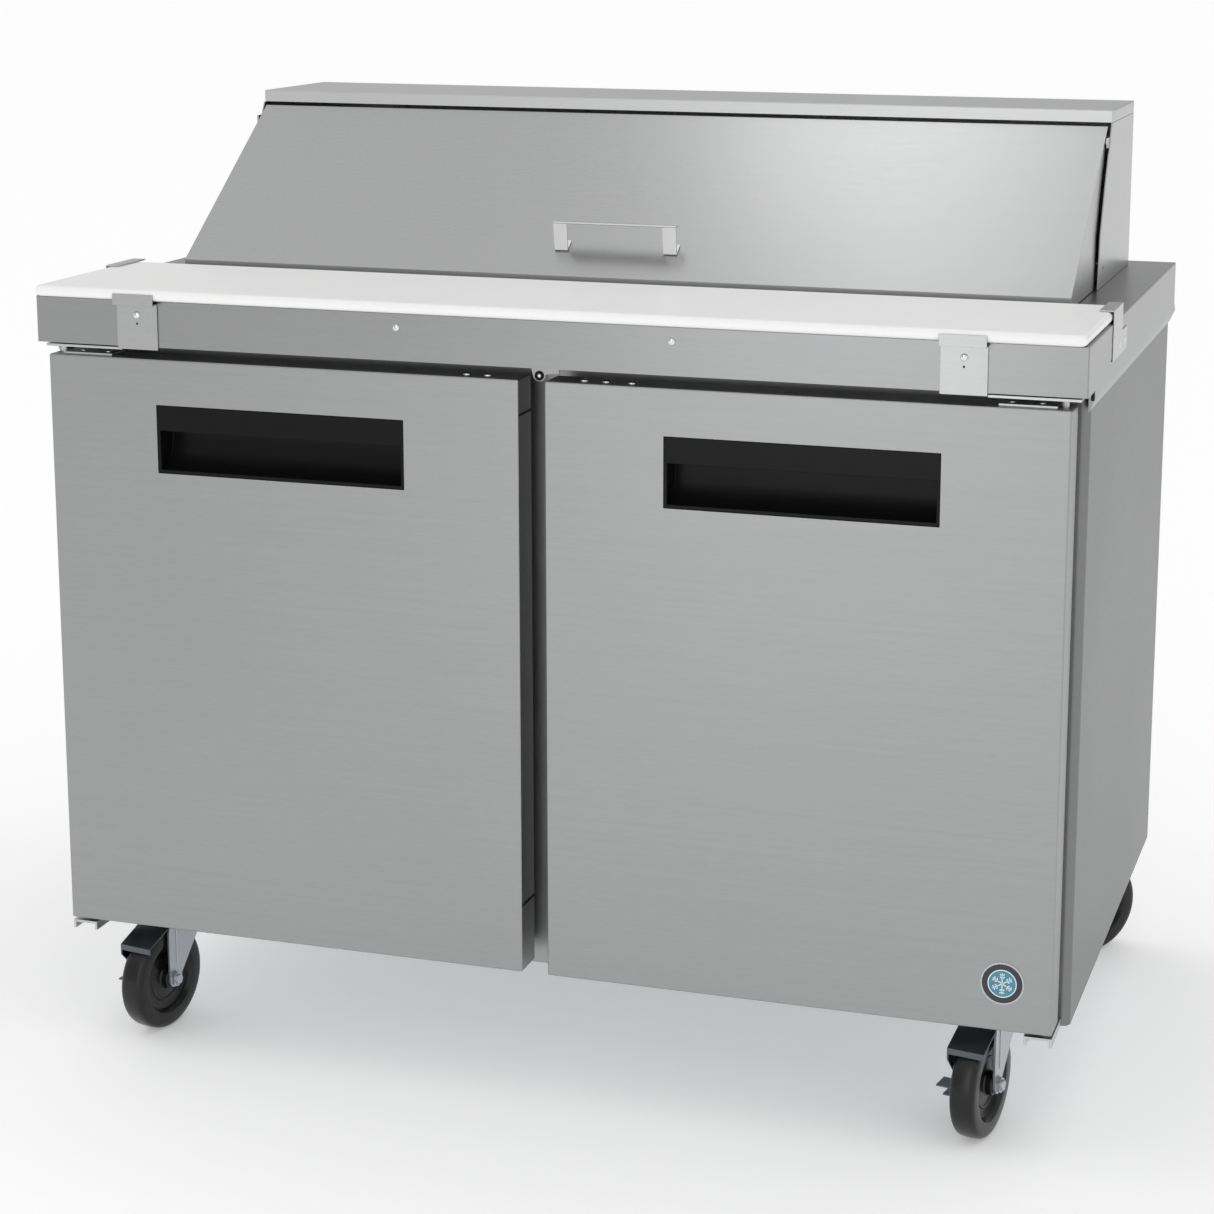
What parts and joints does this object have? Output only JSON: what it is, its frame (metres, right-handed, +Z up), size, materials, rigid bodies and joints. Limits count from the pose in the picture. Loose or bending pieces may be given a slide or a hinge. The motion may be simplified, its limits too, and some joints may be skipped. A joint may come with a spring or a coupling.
{
  "type": "refrigerated prep table",
  "caption": "Refrigerated stainless steel sandwich prep table with hinged doors, a white cutting board, a sloped lifting lid over food pans, and swivel casters.",
  "frame": {"origin": "bottom centre of the bounding box, on the floor", "axes": "+X to the right of a person facing the doors, +Y from the doors to the back, +Z up"},
  "size_m": [1.223, 0.744, 1.1213],
  "materials": {
    "stainless": "brushed",
    "worktop": "satin",
    "hood": "satin",
    "handle": "polished",
    "zinc": "zinc plated",
    "galvanised": "galvanised",
    "board": "smooth",
    "pull": "satin black",
    "liner": "white",
    "foam": "foamed",
    "gasket": "soft",
    "pan": "satin",
    "shelf": "coated wire",
    "coil": "finned",
    "black_steel": "satin black",
    "fan": "black",
    "wheel": "hard black",
    "brake": "dark zinc"
  },
  "bodies": {
    "table": {"worktop": "worktop", "cutting_board": "board", "board_bracket_left": "stainless", "board_bracket_right": "stainless", "board_clip_left": "stainless", "board_clip_right": "stainless", "side_panel_left": "stainless", "side_panel_right": "stainless", "face_frame": "stainless", "hood_shell": "hood", "hood_cap": "hood", "inner_liner": "liner", "pan_rack": "galvanised", "back_panel": "galvanised", "base_panel": "galvanised", "machine_cover": "galvanised", "insulation": "foam", "shelf_left": "shelf", "shelf_right": "shelf", "evaporator": "coil", "condenser": "coil", "cord_gland": "fan", "compressor": "black_steel", "food_pans_1": "pan", "food_pans_2": "pan", "food_pans_3": "pan", "food_pans_4": "pan", "food_pans_5": "pan", "food_pans_6": "pan", "left_top_hinge": "stainless", "left_bottom_hinge": "stainless", "front_left_caster_plate": "zinc", "rear_left_caster_plate": "zinc", "right_top_hinge": "stainless", "right_bottom_hinge": "stainless", "front_right_caster_plate": "zinc", "rear_right_caster_plate": "zinc"},
    "left_door": {"left_door_skin": "stainless", "left_door_liner": "liner", "left_door_gasket": "gasket", "left_door_pull": "pull"},
    "right_door": {"right_door_skin": "stainless", "right_door_liner": "liner", "right_door_gasket": "gasket", "right_door_pull": "pull"},
    "lid": {"lid": "hood", "lid_insulation": "liner", "lid_handle": "handle"},
    "evaporator_fan": {"evaporator_fan": "fan"},
    "condenser_fan": {"condenser_fan": "fan"},
    "front_left_swivel": {"front_left_caster_fork": "zinc"},
    "front_left_wheel": {"front_left_wheel": "wheel"},
    "front_left_brake": {"front_left_brake": "brake"},
    "front_right_swivel": {"front_right_caster_fork": "zinc"},
    "front_right_wheel": {"front_right_wheel": "wheel"},
    "front_right_brake": {"front_right_brake": "brake"},
    "rear_left_swivel": {"rear_left_caster_fork": "zinc"},
    "rear_left_wheel": {"rear_left_wheel": "wheel"},
    "rear_right_swivel": {"rear_right_caster_fork": "zinc"},
    "rear_right_wheel": {"rear_right_wheel": "wheel"}
  },
  "joints": [
    {"name": "left_door_hinge", "type": "hinge", "parent": "table", "child": "left_door", "pos_m": [-0.584, -0.343, 0.50275], "axis": [0, 0, -1], "range_deg": [0, 110]},
    {"name": "right_door_hinge", "type": "hinge", "parent": "table", "child": "right_door", "pos_m": [0.584, -0.343, 0.50275], "axis": [0, 0, 1], "range_deg": [0, 110]},
    {"name": "lid_hinge", "type": "hinge", "parent": "table", "child": "lid", "pos_m": [0, 0.125, 1.0844], "axis": [-1, 0, 0], "range_deg": [0, 140]},
    {"name": "evaporator_fan_spin", "type": "hinge", "parent": "table", "child": "evaporator_fan", "pos_m": [0.12, 0.225, 0.512], "axis": [0, 1, 0], "continuous": true},
    {"name": "condenser_fan_spin", "type": "hinge", "parent": "table", "child": "condenser_fan", "pos_m": [0.425, 0.272, 0.275], "axis": [0, 1, 0], "continuous": true},
    {"name": "front_left_swivel", "type": "hinge", "parent": "table", "child": "front_left_swivel", "pos_m": [-0.511, -0.25, 0.137], "axis": [0, 0, 1], "continuous": true},
    {"name": "front_left_wheel_roll", "type": "hinge", "parent": "front_left_swivel", "child": "front_left_wheel", "pos_m": [-0.5176, -0.28742, 0.0635], "axis": [0.9848, -0.1736, 0], "continuous": true},
    {"name": "front_left_brake_press", "type": "hinge", "parent": "front_left_swivel", "child": "front_left_brake", "pos_m": [-0.5176, -0.28742, 0.0635], "axis": [0.9848, -0.1736, 0], "range_deg": [0, 8]},
    {"name": "front_right_swivel", "type": "hinge", "parent": "table", "child": "front_right_swivel", "pos_m": [0.511, -0.25, 0.137], "axis": [0, 0, 1], "continuous": true},
    {"name": "front_right_wheel_roll", "type": "hinge", "parent": "front_right_swivel", "child": "front_right_wheel", "pos_m": [0.5044, -0.28742, 0.0635], "axis": [0.9848, -0.1736, 0], "continuous": true},
    {"name": "front_right_brake_press", "type": "hinge", "parent": "front_right_swivel", "child": "front_right_brake", "pos_m": [0.5044, -0.28742, 0.0635], "axis": [0.9848, -0.1736, 0], "range_deg": [0, 8]},
    {"name": "rear_left_swivel", "type": "hinge", "parent": "table", "child": "rear_left_swivel", "pos_m": [-0.511, 0.288, 0.137], "axis": [0, 0, 1], "continuous": true},
    {"name": "rear_left_wheel_roll", "type": "hinge", "parent": "rear_left_swivel", "child": "rear_left_wheel", "pos_m": [-0.498, 0.25229, 0.0635], "axis": [0.9397, 0.342, 0], "continuous": true},
    {"name": "rear_right_swivel", "type": "hinge", "parent": "table", "child": "rear_right_swivel", "pos_m": [0.511, 0.288, 0.137], "axis": [0, 0, 1], "continuous": true},
    {"name": "rear_right_wheel_roll", "type": "hinge", "parent": "rear_right_swivel", "child": "rear_right_wheel", "pos_m": [0.5374, 0.31533, 0.0635], "axis": [-0.7193, 0.6947, 0], "continuous": true}
  ]
}
